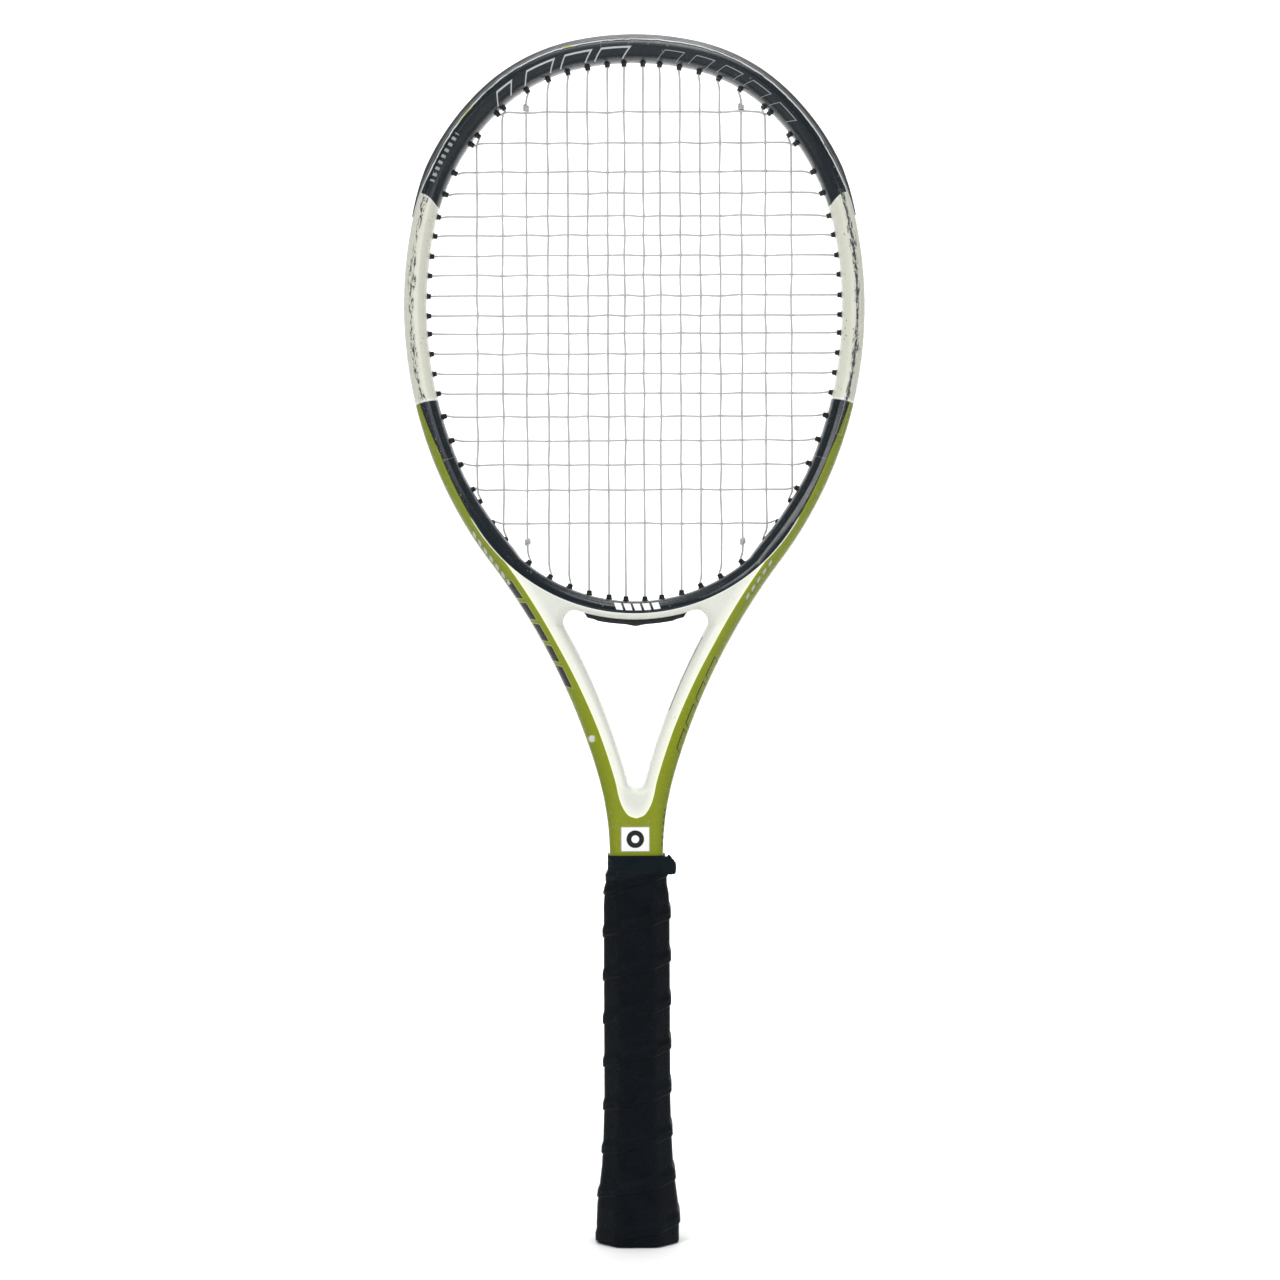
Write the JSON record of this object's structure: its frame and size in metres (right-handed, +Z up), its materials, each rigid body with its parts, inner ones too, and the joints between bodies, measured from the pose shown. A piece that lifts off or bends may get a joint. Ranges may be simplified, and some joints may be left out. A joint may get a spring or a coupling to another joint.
{
  "type": "tennis racket",
  "caption": "Strung tennis racket with an oval hollow head, an open triangular throat, a bridge, string grommets and a wrapped octagonal handle with a flared butt.",
  "frame": {"origin": "middle of the butt end, where the racket would stand upright", "axes": "+Z runs up the handle to the head, X goes across the head, and the playing face looks along -Y"},
  "size_m": [0.2618, 0.042, 0.6858],
  "materials": {
    "frame": "lacquered carbon, lime with white and near-black zones, chipped",
    "bridge": "lacquered carbon, white and near-black",
    "bumper": "scuffed dark nylon",
    "grommets": "black nylon",
    "string": "translucent pale synthetic string",
    "foam": "moulded handle foam",
    "cap": "black moulded plastic",
    "door": "dark moulded plastic",
    "steel": "zinc-plated steel",
    "base_grip": "black synthetic cushioned grip",
    "overgrip": "black perforated overgrip, faint blue sheen",
    "tape": "black elastic finishing tape"
  },
  "bodies": {
    "racket": {"frame": "frame", "throat_bridge": "bridge", "bumper_guard": "bumper", "grommet_strip_left": "grommets", "grommet_strip_right": "grommets", "throat_grommet_strip": "grommets", "main_string": "string", "cross_string": "string", "string_knots": "string", "handle_foam": "foam", "butt_cap": "cap", "butt_cap_staples": "steel", "base_grip": "base_grip", "base_grip_tack": "steel", "base_grip_tape": "tape", "overgrip": "overgrip", "finishing_tape": "tape"},
    "trap_door": {"trap_door": "door"}
  },
  "joints": [
    {"name": "trap_door_slide", "type": "slide", "parent": "racket", "child": "trap_door", "axis": [0, 0, -1], "range_m": [0, 0.012]}
  ]
}
